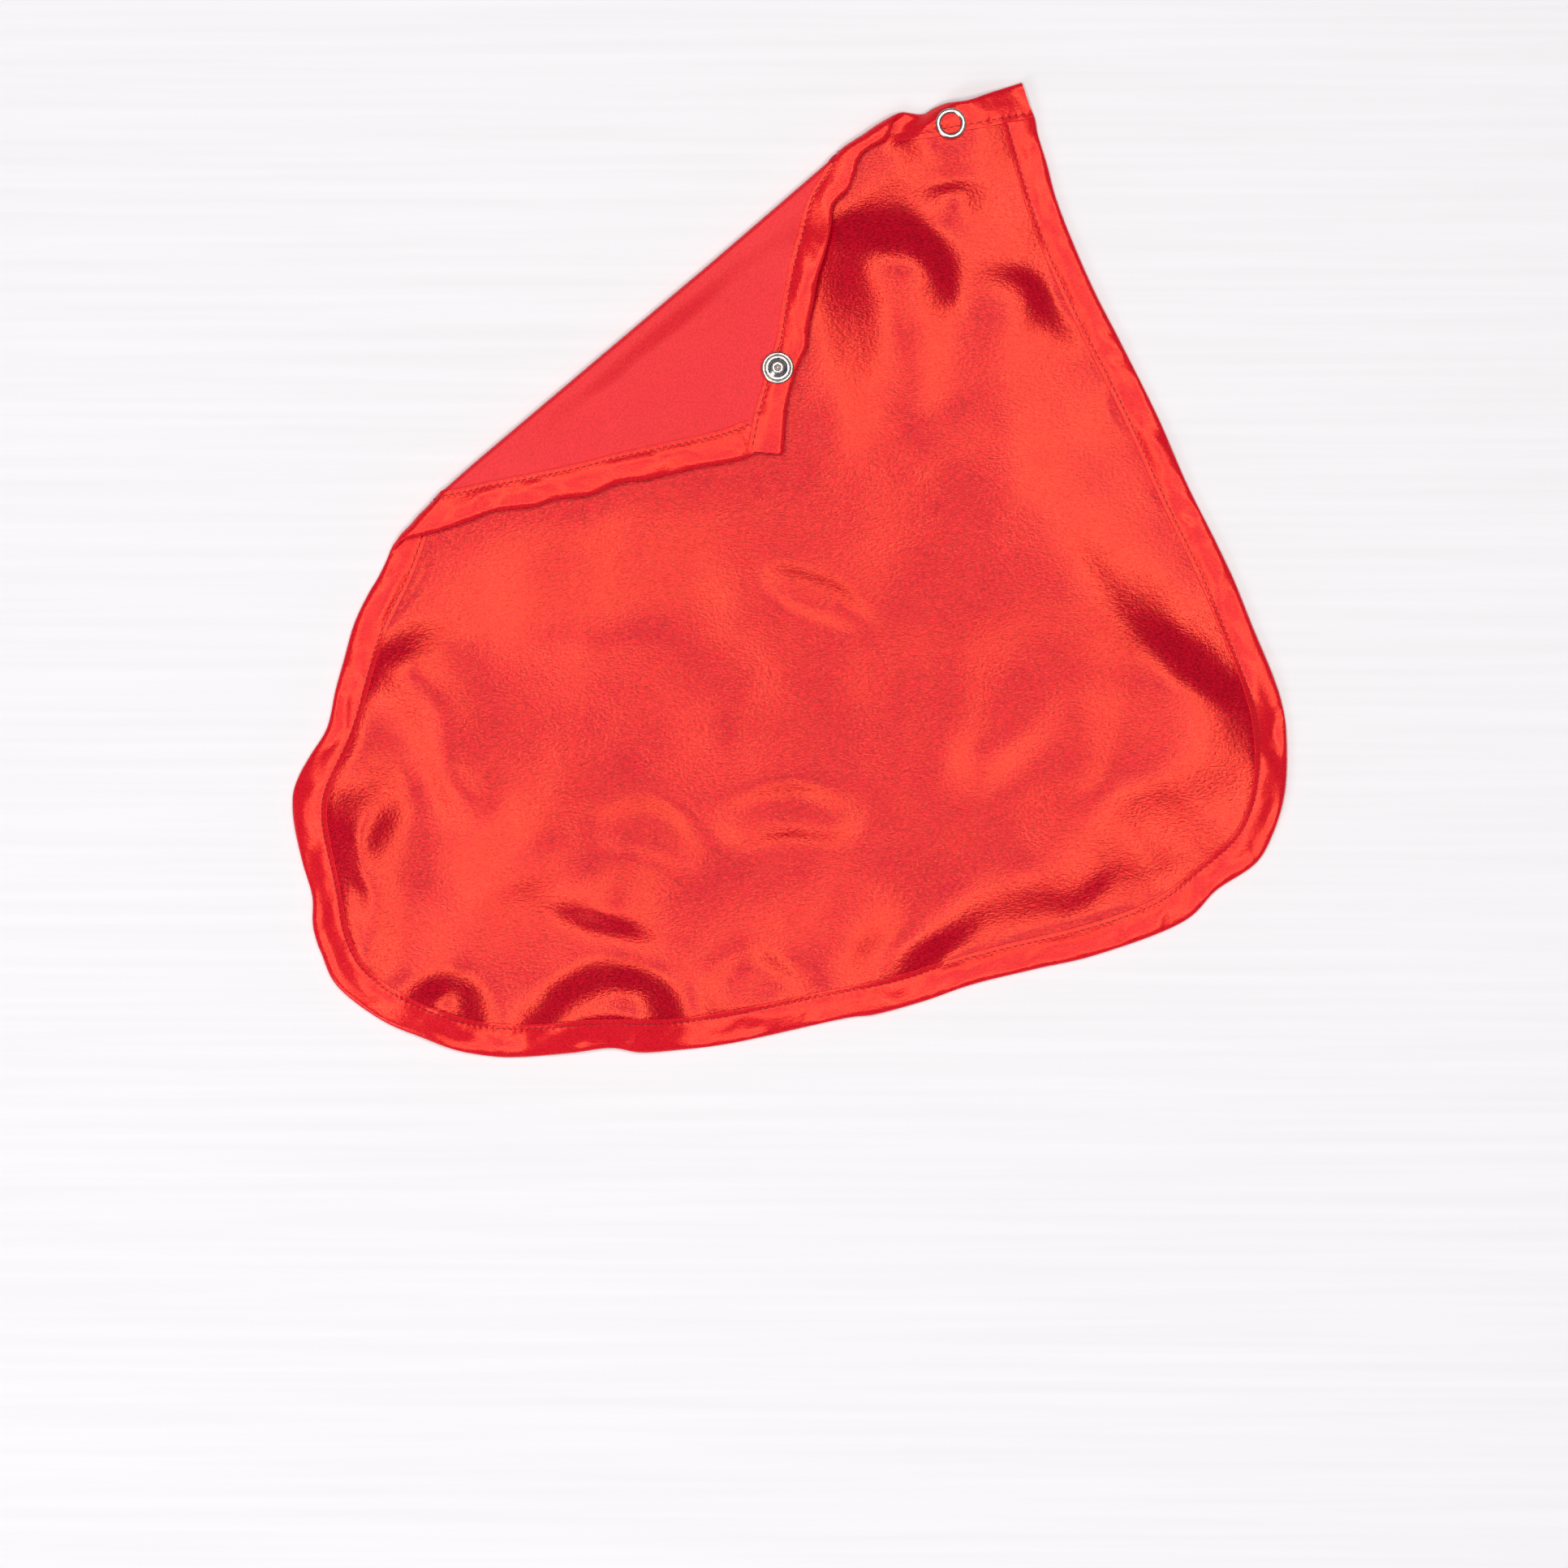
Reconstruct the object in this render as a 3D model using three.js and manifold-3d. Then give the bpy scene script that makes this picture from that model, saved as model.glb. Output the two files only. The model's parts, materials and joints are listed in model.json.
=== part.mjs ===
// Superhero cape for a baby: one satin panel, bound round its edge, with a neck band and two ring
// snaps. It lies on its back on a table, outer face up, with the left neck corner folded over.
// Millimetres, +Z up, +Y towards the neck, the underside resting on z = 0.
// The cape is laid out opened flat, and place() then folds it and lays it down.
import * as THREE from 'three';
import { mergeVertices } from 'three/addons/utils/BufferGeometryUtils.js';
import Module from 'manifold-3d';

// Overall size of the cape as it lies
const CAPE_WIDTH = 314;
const CAPE_LENGTH = 308;

// Cloth and trim
const PANEL_THICKNESS = 0.5;
const TAPE_THICKNESS = 0.6;
const TAPE_WIDTH = 10;
const BAND_WIDTH = 12;
const NECK_SAG = 7;
const FIT_GAP = 0.3;

// Seams: the row of stitches inside the free edge of the tape and of the band
const SEAM_INSET = 1.5;
const THREAD_WIDTH = 0.4;
const THREAD_DEPTH = 0.3;
const THREAD_GAP = 0.18;
const THREAD_SINK = 0.05;

// Ring snaps, of the common 9.5 mm size
const RING_OUTER = 9.5;
const RING_INNER = 6.5;
const RING_HEIGHT = 0.9;
const PRONGS = 5;
const PRONG_WIDTH = 0.9;
const PRONG_THICKNESS = 0.4;
const STUD_OUTER = 10;
const STUD_HEIGHT = 2.9;
const POST_DIAMETER = 4;
const POST_HOLE = 1;
const SNAP_FROM_TAB = 25;
const SNAP_FROM_EDGE = 5.4;

// The crease: where it meets the neckline, and the way it runs down to the left
const CREASE_START = new THREE.Vector2(21.9, 137.1);
const CREASE_ANGLE = THREE.MathUtils.degToRad(220.2);

// Spacing of the stations along the edges, and the steps of the fold's roll
const EDGE_PITCH = 10;
const NECK_PITCH = 4.5;
const ROLL_STEPS = [0, 1 / 3, 2 / 3, 1];
const FOLD_GAP = 0.3;
const LATHE_STEPS = 32;

// Finished edge of the opened cape, clockwise from the right neck corner,
// as shares of half the width and half the length
const OUTLINE = [
  [0.467, 0.995],
  [0.538, 0.763],
  [0.672, 0.457],
  [0.803, 0.175],
  [0.933, -0.116],
  [0.99, -0.273],
  [0.997, -0.429],
  [0.943, -0.597],
  [0.815, -0.708],
  [0.611, -0.792],
  [0.369, -0.854],
  [0.127, -0.919],
  [-0.121, -0.971],
  [-0.306, -0.987],
  [-0.573, -0.999],
  [-0.777, -0.948],
  [-0.917, -0.844],
  [-0.955, -0.701],
  [-0.997, -0.506],
  [-0.955, -0.325],
  [-0.882, -0.123],
  [-0.79, 0.11],
  [-0.707, 0.338],
  [-0.611, 0.571],
  [-0.51, 0.841],
];

// Soft folds of the loose cloth: middle as shares of half the width and half the length, then
// direction in degrees, half length, half width and height
const WAVES = [
  { x: 0.032, y: -0.065, turn: -15, along: 26, across: 13, height: 3 },
  { x: -0.025, y: -0.532, turn: 60, along: 20, across: 12, height: 3 },
  { x: -0.287, y: -0.545, turn: -10, along: 18, across: 12, height: 2.5 },
  { x: 0.841, y: -0.208, turn: -55, along: 30, across: 12, height: 3 },
  { x: 0.675, y: -0.494, turn: 80, along: 14, across: 12, height: 2.5 },
  { x: -0.382, y: -0.727, turn: 75, along: 16, across: 12, height: 3 },
  { x: -0.662, y: -0.818, turn: 60, along: 14, across: 12, height: 3 },
  { x: -0.968, y: -0.481, turn: 80, along: 28, across: 14, height: 3 },
  { x: 0.395, y: -0.714, turn: 70, along: 16, across: 12, height: 2 },
  { x: 0.497, y: 0.545, turn: 70, along: 20, across: 12, height: 2.5 },
];

// Half the thickness of a bound edge: panel, gap and tape
const EDGE_HALF = PANEL_THICKNESS / 2 + FIT_GAP + TAPE_THICKNESS;
// The folded corner lies as high above the panel as the ring cap under it needs
const LAYER_STEP = EDGE_HALF + FIT_GAP + RING_HEIGHT + FIT_GAP + PANEL_THICKNESS / 2;
const ROLL_RADIUS = LAYER_STEP / 2;
const ROLL_LENGTH = ROLL_RADIUS * Math.PI / 2;
// The right-hand snap holds the band off the table by the height of its stud
const SNAP_LIFT = STUD_HEIGHT + FIT_GAP;
const EDGE_INSET = TAPE_THICKNESS + FIT_GAP;
const MAIN = 1;
const CORNER = -1;

const creaseAlong = new THREE.Vector2(Math.cos(CREASE_ANGLE), Math.sin(CREASE_ANGLE));
const creaseAcross = new THREE.Vector2(-creaseAlong.y, creaseAlong.x);

const { lerp, smoothstep } = THREE.MathUtils;

// The outline drawn at the chosen size
const outlinePoints = OUTLINE.map(
  ([x, y]) => new THREE.Vector3(x * CAPE_WIDTH / 2, y * CAPE_LENGTH / 2, 0),
);
const edgeCurve = new THREE.CatmullRomCurve3(outlinePoints, false, 'centripetal');
edgeCurve.arcLengthDivisions = 600;

const rightCorner = outlinePoints[0];
const leftCorner = outlinePoints[outlinePoints.length - 1];
const neckMiddle = leftCorner.clone().add(rightCorner).multiplyScalar(0.5);
const neckDrop = new THREE.Vector3(rightCorner.y - leftCorner.y, leftCorner.x - rightCorner.x, 0);
neckMiddle.addScaledVector(neckDrop.normalize(), 2 * NECK_SAG);
const neckCurve = new THREE.QuadraticBezierCurve3(leftCorner, neckMiddle, rightCorner);

// A strip follows an edge of the opened cape clockwise; at() gives the point so far along it and
// so far in from it.
function makeStrip(curve, pitch) {
  const length = curve.getLength();
  const at = (distance, depth) => {
    const share = THREE.MathUtils.clamp(distance / length, 0, 1);
    const point = curve.getPointAt(share);
    const tangent = curve.getTangentAt(share);
    return new THREE.Vector2(point.x + tangent.y * depth, point.y - tangent.x * depth);
  };
  return { length, pitch, at };
}

const edge = makeStrip(edgeCurve, EDGE_PITCH);
const neck = makeStrip(neckCurve, NECK_PITCH);

// The binding ends just below the band, whose lower edge runs square to its end at each corner
function belowBand(side, depth) {
  const [corner, inner] = [0, 1].map(step => neck.at(side === MAIN ? neck.length : 0, step));
  const down = inner.sub(corner);
  const start = side === MAIN ? 0 : edge.length;
  let [low, high] = [0, 2 * BAND_WIDTH];
  for (let step = 0; step < 40; step += 1) {
    const middle = (low + high) / 2;
    const drop = edge.at(start + side * middle, depth).sub(corner).dot(down);
    if (drop < BAND_WIDTH + FIT_GAP) low = middle;
    else high = middle;
  }
  return start + side * low;
}

// Where a strip's even steps end on each side of the crease, at one depth
edge.search = [edge.length * 0.6, edge.length];
edge.end = belowBand;
neck.search = [0, neck.length];
neck.end = side => {
  const hidden = TAPE_WIDTH + FIT_GAP;
  return side === MAIN ? neck.length - hidden : hidden;
};

// How far a point of the opened cape is from the crease, positive on the main side
function fromCrease(point) {
  return point.clone().sub(CREASE_START).dot(creaseAcross);
}

// The place along a strip, at one depth, where it is so far from the crease
function crossing(strip, depth, target) {
  let [low, high] = strip.search;
  const rising = fromCrease(strip.at(low, depth)) < target;
  for (let step = 0; step < 40; step += 1) {
    const middle = (low + high) / 2;
    if (fromCrease(strip.at(middle, depth)) < target === rising) low = middle;
    else high = middle;
  }
  return low;
}

// Distances along a strip at one depth, from the crease outwards: the roll of the fold, then even
// steps to the strip's end on that side
function stops(strip, side, depth) {
  const found = share => crossing(strip, depth, side * lerp(FOLD_GAP / 2, ROLL_LENGTH, share));
  const roll = ROLL_STEPS.map(found);
  const start = roll[roll.length - 1];
  const end = strip.end(side, depth);
  const steps = Math.round(Math.abs(strip.end(side, 0) - crossing(strip, 0, 0)) / strip.pitch);
  const even = Array.from({ length: steps }, (_, k) => lerp(start, end, (k + 1) / steps));
  return [...roll, ...even];
}

function line(strip, side, depth, last) {
  const distances = stops(strip, side, depth);
  if (last !== undefined) distances.push(last);
  return distances.map(distance => strip.at(distance, depth));
}

// Height of the cloth's middle surface above its rest height, from the plan position
function rise(x, y) {
  const away = Math.hypot(x - rightSnap.x, y - rightSnap.y);
  let height = SNAP_LIFT * (1 - smoothstep(away, RING_OUTER * 0.75, 25));
  const clear = smoothstep(fromCrease(new THREE.Vector2(x, y)), 4, 40);
  for (const wave of WAVES) {
    const turn = THREE.MathUtils.degToRad(wave.turn);
    const dx = x - wave.x * CAPE_WIDTH / 2;
    const dy = y - wave.y * CAPE_LENGTH / 2;
    const along = (dx * Math.cos(turn) + dy * Math.sin(turn)) / wave.along;
    const across = (dy * Math.cos(turn) - dx * Math.sin(turn)) / wave.across;
    height += clear * wave.height * Math.exp(-along * along - across * across);
  }
  return height;
}

// From a point of the opened cape, and how far it is off the middle of the cloth towards the outer
// face, to its place on the folded cape as it lies
function place(point, off) {
  const distance = fromCrease(point);
  const side = distance < 0 ? CORNER : MAIN;
  const reach = Math.abs(distance);
  const angle = Math.min(reach / ROLL_RADIUS, Math.PI / 2);
  const radius = ROLL_RADIUS - off;
  const inward = ROLL_RADIUS - radius * Math.cos(angle) + Math.max(0, reach - ROLL_LENGTH);
  const x = point.x + (inward - distance) * creaseAcross.x;
  const y = point.y + (inward - distance) * creaseAcross.y;
  const z = EDGE_HALF + ROLL_RADIUS - side * radius * Math.sin(angle) + rise(x, y);
  return new THREE.Vector3(x, y, z);
}

// Snap centres on the opened cape
const rightSnap = neck.at(neck.length - SNAP_FROM_TAB, SNAP_FROM_EDGE);
const leftSnap = neck.at(SNAP_FROM_TAB, SNAP_FROM_EDGE);

// Triangles as a list of corners, turned so that the faces look out
function toGeometry(corners) {
  let volume = 0;
  for (let k = 0; k < corners.length; k += 3) {
    volume += corners[k].dot(corners[k + 1].clone().cross(corners[k + 2]));
  }
  const list = volume < 0 ? [...corners].reverse() : corners;
  return new THREE.BufferGeometry().setFromPoints(list);
}

// A flat net of triangles on the opened cape, all wound anticlockwise
function makeNet() {
  const points = [];
  const known = new Map();
  const triangles = [];
  const index = point => {
    const key = `${point.x.toFixed(3)},${point.y.toFixed(3)}`;
    if (!known.has(key)) {
      known.set(key, points.length);
      points.push(point);
    }
    return known.get(key);
  };
  const addAll = list => {
    const turn = list.reduce((sum, corners) => sum + signedArea(corners), 0) < 0;
    for (const [a, b, c] of list) {
      const ordered = (turn ? [a, c, b] : [a, b, c]).map(index);
      if (new Set(ordered).size === 3) triangles.push(ordered);
    }
  };
  return { points, triangles, addAll };
}

function signedArea([a, b, c]) {
  return ((b.x - a.x) * (c.y - a.y) - (c.x - a.x) * (b.y - a.y)) / 2;
}

// The triangles between two rows of points
function between(first, second) {
  return first.slice(1).flatMap((point, k) => [
    [first[k], second[k], second[k + 1]],
    [first[k], second[k + 1], point],
  ]);
}

// A loop filled with rings that close in on its middle
function fillLoop(loop, rings) {
  const middle = new THREE.Vector2();
  let total = 0;
  loop.forEach((point, k) => {
    const corners = [loop[0], point, loop[(k + 1) % loop.length]];
    const area = signedArea(corners);
    corners.forEach(corner => middle.addScaledVector(corner, area / 3));
    total += area;
  });
  middle.divideScalar(total);
  const closed = [...loop, loop[0]];
  const ringAt = ring => closed.map(point => point.clone().lerp(middle, ring / rings));
  const list = [];
  for (let ring = 1; ring < rings; ring += 1) {
    list.push(...between(ringAt(ring - 1), ringAt(ring)));
  }
  const inner = ringAt(rings - 1);
  inner.slice(1).forEach((point, k) => list.push([inner[k], middle, point]));
  return list;
}

// The net of the panel on one side of the crease. Its edges lie inside the tape and the band.
function panelNet(side, rings) {
  const net = makeNet();
  const hidden = TAPE_WIDTH + FIT_GAP;
  const covered = BAND_WIDTH + FIT_GAP;
  const neckEnd = side === MAIN ? neck.length - EDGE_INSET : EDGE_INSET;
  const edgeOuter = line(edge, side, EDGE_INSET);
  const edgeInner = line(edge, side, hidden);
  const neckOuter = line(neck, side, EDGE_INSET, neckEnd);
  const neckInner = line(neck, side, covered);
  neckInner[neckInner.length - 1] = edgeInner[edgeInner.length - 1];
  neckInner.push(edgeOuter[edgeOuter.length - 1]);
  net.addAll(between(edgeOuter, edgeInner));
  net.addAll(between(neckOuter, neckInner));
  const last = ROLL_STEPS.length - 1;
  const spans = Math.round(neckInner[last].distanceTo(edgeInner[last]) / EDGE_PITCH);
  const rows = ROLL_STEPS.map((_, row) => {
    return Array.from({ length: spans + 1 }, (_, k) => {
      return neckInner[row].clone().lerp(edgeInner[row], k / spans);
    });
  });
  rows.slice(1).forEach((row, k) => net.addAll(between(rows[k], row)));
  const loop = [
    ...neckInner.slice(last, -1),
    ...edgeInner.slice(last + 1, -1).reverse(),
    ...rows[last].slice(1).reverse(),
  ];
  net.addAll(fillLoop(loop, rings));
  return net;
}

// Cloth of even thickness over a net
function clothOver(net) {
  const half = PANEL_THICKNESS / 2;
  const top = net.points.map(point => place(point, half));
  const bottom = net.points.map(point => place(point, -half));
  const used = new Set();
  net.triangles.forEach(([a, b, c]) => {
    used.add(`${a}-${b}`);
    used.add(`${b}-${c}`);
    used.add(`${c}-${a}`);
  });
  const corners = [];
  for (const [a, b, c] of net.triangles) {
    corners.push(top[a], top[b], top[c], bottom[a], bottom[c], bottom[b]);
    for (const [from, to] of [[a, b], [b, c], [c, a]]) {
      if (used.has(`${to}-${from}`)) continue;
      corners.push(bottom[from], bottom[to], top[to], bottom[from], top[to], top[from]);
    }
  }
  return toGeometry(corners);
}

// A section, given as depth from the edge and height off the middle, carried along a strip
function carry(strip, side, section, last) {
  const flat = section.map(([depth, off]) => new THREE.Vector2(depth, off));
  if (THREE.ShapeUtils.isClockWise(flat)) flat.reverse();
  const lines = flat.map(({ x: depth, y: off }) => {
    return line(strip, side, depth, last).map(point => place(point, off));
  });
  const corners = [];
  lines.forEach((here, s) => {
    const after = (s + 1) % lines.length;
    const next = lines[after];
    const inwards = flat[s].x <= flat[after].x;
    for (let k = 0; k + 1 < here.length; k += 1) {
      if (inwards) corners.push(here[k], next[k + 1], next[k], here[k], here[k + 1], next[k + 1]);
      else corners.push(here[k], here[k + 1], next[k], here[k + 1], next[k + 1], next[k]);
    }
  });
  const end = lines[0].length - 1;
  for (const [a, b, c] of THREE.ShapeUtils.triangulateShape(flat, [])) {
    corners.push(lines[a][0], lines[b][0], lines[c][0]);
    corners.push(lines[a][end], lines[c][end], lines[b][end]);
  }
  return toGeometry(corners);
}

// Tape or band folded round the panel's edge, with a groove for the thread in each face
function foldedSection(width) {
  const slot = PANEL_THICKNESS / 2 + FIT_GAP;
  const from = width - SEAM_INSET - THREAD_WIDTH / 2 - THREAD_GAP;
  const to = from + THREAD_WIDTH + 2 * THREAD_GAP;
  const floor = EDGE_HALF - THREAD_SINK - THREAD_DEPTH - THREAD_GAP;
  const upper = [
    [0, EDGE_HALF * 0.45],
    [TAPE_THICKNESS * 0.7, EDGE_HALF],
    [from, EDGE_HALF],
    [from, floor],
    [to, floor],
    [to, EDGE_HALF],
    [width, EDGE_HALF],
    [width, slot],
    [TAPE_THICKNESS, slot],
  ];
  const lower = upper.map(([depth, off]) => [depth, -off]).reverse();
  return [...lower, ...upper];
}

// One thread of a seam, in the groove of the outer (1) or inner (-1) face
function threadSection(width, face) {
  const from = width - SEAM_INSET - THREAD_WIDTH / 2;
  const to = from + THREAD_WIDTH;
  const outer = face * (EDGE_HALF - THREAD_SINK);
  const inner = outer - face * THREAD_DEPTH;
  return [
    [from, inner],
    [to, inner],
    [to, outer],
    [from, outer],
  ];
}

const wasm = await Module();
wasm.setup();

function toManifold(geometry) {
  const bare = new THREE.BufferGeometry();
  bare.setAttribute('position', geometry.getAttribute('position').clone());
  if (geometry.index) bare.setIndex(geometry.index.clone());
  const merged = mergeVertices(bare, 1e-4);
  return new wasm.Manifold(new wasm.Mesh({
    numProp: 3,
    vertProperties: new Float32Array(merged.getAttribute('position').array),
    triVerts: new Uint32Array(merged.index.array),
  }));
}

function fromManifold(solid) {
  const mesh = solid.getMesh();
  const geometry = new THREE.BufferGeometry();
  geometry.setAttribute('position', new THREE.BufferAttribute(mesh.vertProperties, 3));
  geometry.setIndex(new THREE.BufferAttribute(mesh.triVerts, 1));
  return geometry;
}

// Prong angles round a snap
const prongAngles = Array.from({ length: PRONGS }, (_, k) => (k + 0.5) * 2 * Math.PI / PRONGS);
const prongRadius = RING_INNER / 2 + PRONG_THICKNESS;

// A block standing on the snap's own plane at a prong's place, grown by a margin all round
function prongBlock(angle, length, margin) {
  const width = PRONG_WIDTH + 2 * margin;
  const thickness = PRONG_THICKNESS + 2 * margin;
  const block = new THREE.BoxGeometry(thickness, width, length);
  block.translate(prongRadius, 0, 0);
  return block.rotateZ(angle);
}

// Puts a snap part, drawn with the cape's outer face towards +Z, in its place on the cape
function seat(geometry, snap, off) {
  const centre = place(snap, off);
  if (fromCrease(snap) < 0) geometry.rotateX(Math.PI);
  return geometry.translate(centre.x, centre.y, centre.z);
}

// Cloth with the prong holes of one snap through it
function pierced(geometry, snap) {
  let solid = toManifold(geometry);
  for (const angle of prongAngles) {
    const cutter = seat(prongBlock(angle, 4 * EDGE_HALF, FIT_GAP), snap, 0);
    solid = solid.subtract(toManifold(cutter));
  }
  return fromManifold(solid);
}

function turned(profile) {
  const points = profile.map(([radius, height]) => new THREE.Vector2(radius, height));
  const lathe = new THREE.LatheGeometry([...points, points[0]], LATHE_STEPS);
  lathe.rotateX(Math.PI / 2);
  const plain = lathe.toNonIndexed().getAttribute('position');
  const corners = [];
  for (let k = 0; k < plain.count; k += 1) {
    corners.push(new THREE.Vector3().fromBufferAttribute(plain, k));
  }
  return dropSlivers(corners);
}

// Leaves out the triangles that a lathe makes on its own axis
function dropSlivers(corners) {
  const kept = [];
  for (let k = 0; k < corners.length; k += 3) {
    const [a, b, c] = corners.slice(k, k + 3);
    const area = b.clone().sub(a).cross(c.clone().sub(a)).length();
    if (area > 1e-6) kept.push(a, b, c);
  }
  return toGeometry(kept);
}

// Ring cap: a domed open ring with prongs through the band, drawn with z = 0 at its seat
function ringCap(snap) {
  const outer = RING_OUTER / 2;
  const inner = RING_INNER / 2;
  const wall = outer - inner;
  const ring = turned([
    [inner, 0],
    [outer, 0],
    [outer, RING_HEIGHT * 0.45],
    [outer - wall * 0.2, RING_HEIGHT * 0.85],
    [outer - wall * 0.5, RING_HEIGHT],
    [inner + wall * 0.2, RING_HEIGHT * 0.85],
    [inner, RING_HEIGHT * 0.45],
  ]);
  let solid = toManifold(ring);
  const reach = 2 * EDGE_HALF + 2 * FIT_GAP + 0.35;
  for (const angle of prongAngles) {
    const prong = prongBlock(angle, reach + RING_HEIGHT * 0.4, 0);
    prong.translate(0, 0, (RING_HEIGHT * 0.4 - reach) / 2);
    solid = solid.add(toManifold(prong));
  }
  return seat(fromManifold(solid), snap, EDGE_HALF + FIT_GAP);
}

// Stud: a rimmed disc, open towards the cloth where the prongs are clinched, with a headed post
function stud(snap) {
  const rim = STUD_OUTER / 2;
  const post = POST_DIAMETER / 2;
  const boss = post + 0.6;
  const profile = [
    [0, 0],
    [boss - 0.1, 0],
    [boss, -0.75],
    [rim - 0.7, -0.75],
    [rim - 0.6, 0],
    [rim, -0.15],
    [rim, -0.9],
    [rim - 0.35, -1.25],
    [rim - 0.8, -1.15],
    [boss + 0.5, -1.1],
    [boss, -1.5],
    [post - 0.25, -1.6],
    [post, -STUD_HEIGHT + 0.5],
    [post - 0.4, -STUD_HEIGHT],
    [POST_HOLE / 2, -STUD_HEIGHT],
    [POST_HOLE / 2, -STUD_HEIGHT + 1.2],
    [0, -STUD_HEIGHT + 1.2],
  ];
  return seat(turned(profile), snap, -EDGE_HALF - FIT_GAP);
}

const satin = { color: 0xdc2630, roughness: 0.4, metalness: 0 };
const tape = { color: 0xd8242e, roughness: 0.35, metalness: 0 };
const sewing = { color: 0xc81f28, roughness: 0.6, metalness: 0 };
const nickel = { color: 0xc9c6c0, roughness: 0.25, metalness: 1 };

const cape = new THREE.Group();
cape.name = 'superhero_cape';

function add(name, geometry, look) {
  const mesh = new THREE.Mesh(geometry, new THREE.MeshStandardMaterial(look));
  mesh.name = name;
  cape.add(mesh);
}

const sides = [
  { label: 'main', side: MAIN, snap: rightSnap, rings: 7, tab: neck.length },
  { label: 'corner', side: CORNER, snap: leftSnap, rings: 3, tab: 0 },
];
for (const { label, side, snap, rings, tab } of sides) {
  add(`panel_${label}`, pierced(clothOver(panelNet(side, rings)), snap), satin);
  add(`binding_${label}`, carry(edge, side, foldedSection(TAPE_WIDTH)), tape);
  const band = carry(neck, side, foldedSection(BAND_WIDTH), tab);
  add(`neck_band_${label}`, pierced(band, snap), satin);
  for (const [face, name] of [[1, 'top'], [-1, 'bobbin']]) {
    add(`binding_${name}_thread_${label}`, carry(edge, side, threadSection(TAPE_WIDTH, face)), sewing);
    const bandThread = carry(neck, side, threadSection(BAND_WIDTH, face), tab);
    add(`band_${name}_thread_${label}`, bandThread, sewing);
  }
  add(`ring_cap_${label}`, ringCap(snap), nickel);
  add(`stud_${label}`, stud(snap), nickel);
}

// Centred over the origin and standing on z = 0
const box = new THREE.Box3().setFromObject(cape);
const middle = box.getCenter(new THREE.Vector3());
cape.children.forEach(mesh => mesh.geometry.translate(-middle.x, -middle.y, -box.min.z));

export default cape;
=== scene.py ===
"""The looks of a baby's satin superhero cape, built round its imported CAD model.

The cape is drawn opened flat, in millimetres in the CAD frame: the panel as a grid, the binding and
the neck band as swept strips. lay() then folds it along its crease and lays it down, with the soft
relief of the loose cloth. make_piece() turns millimetres into metres.
"""

import json
import math

import bpy
import numpy as np
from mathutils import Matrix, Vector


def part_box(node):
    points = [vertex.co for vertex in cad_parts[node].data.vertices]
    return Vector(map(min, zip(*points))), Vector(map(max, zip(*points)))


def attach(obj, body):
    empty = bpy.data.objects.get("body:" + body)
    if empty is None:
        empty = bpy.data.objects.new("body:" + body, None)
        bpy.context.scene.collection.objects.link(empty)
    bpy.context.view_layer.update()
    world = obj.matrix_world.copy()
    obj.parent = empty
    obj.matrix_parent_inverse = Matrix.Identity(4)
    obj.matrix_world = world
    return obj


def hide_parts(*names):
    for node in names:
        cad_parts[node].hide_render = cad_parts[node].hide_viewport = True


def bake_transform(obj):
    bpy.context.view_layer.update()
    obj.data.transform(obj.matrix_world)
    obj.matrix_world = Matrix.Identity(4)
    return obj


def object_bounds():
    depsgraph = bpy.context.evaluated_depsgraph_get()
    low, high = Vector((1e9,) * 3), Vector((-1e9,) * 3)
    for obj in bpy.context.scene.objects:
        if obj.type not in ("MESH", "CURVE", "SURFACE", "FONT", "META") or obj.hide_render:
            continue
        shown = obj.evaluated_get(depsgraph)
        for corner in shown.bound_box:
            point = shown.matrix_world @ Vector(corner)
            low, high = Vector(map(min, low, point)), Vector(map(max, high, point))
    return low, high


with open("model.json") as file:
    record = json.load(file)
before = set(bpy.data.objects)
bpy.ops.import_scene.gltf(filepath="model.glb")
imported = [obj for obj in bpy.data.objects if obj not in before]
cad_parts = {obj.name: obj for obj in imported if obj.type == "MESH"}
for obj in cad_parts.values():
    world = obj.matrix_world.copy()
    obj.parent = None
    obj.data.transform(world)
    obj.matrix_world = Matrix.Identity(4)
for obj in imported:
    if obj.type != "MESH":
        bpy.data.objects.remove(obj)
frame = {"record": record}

CAD_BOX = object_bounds()
MM = 0.001

# Cloth and trim, in mm. Halves are measured from the middle of the cloth.
CLOTH = 0.4
TAPE = 0.35
TAPE_WIDTH = 10.0
RIM_INSET = 3.0
BOUND_HALF = 1.15
PUFF_HALF = 1.05
HEM_HALF = 0.6
CROSSING_HALF = 0.95
EDGE_ROUND = 1.8
SEAM_INSET = 1.5
STITCH_PITCH = 2.2
STITCH_LENGTH = 1.65
THREAD_RADIUS = 0.16
# How far apart the points of the meshes are: along a strip, over the panel and round the fold
STATIONS_PER_STITCH = 4
STATION = STITCH_PITCH / STATIONS_PER_STITCH
GRID = 1.25
ROLL_STEP = 0.38

# The fold: the corner lies this much higher than the panel, round a roll of half that. The crease lies
# HINGE_INSET from the hinge's axis, and the pieces are cut SPLIT from the crease on the panel's side.
LAYER_STEP = 2.9
ROLL_RADIUS = LAYER_STEP / 2
ROLL_LENGTH = ROLL_RADIUS * math.pi / 2
HINGE_INSET = 1.25
SPLIT = 2.6
# How many stations a slanting cut is spread over
SLANT_REACH = 80
# How far down the crease the hinge's own point lies from the neckline
HINGE_DOWN = 75.0

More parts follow.
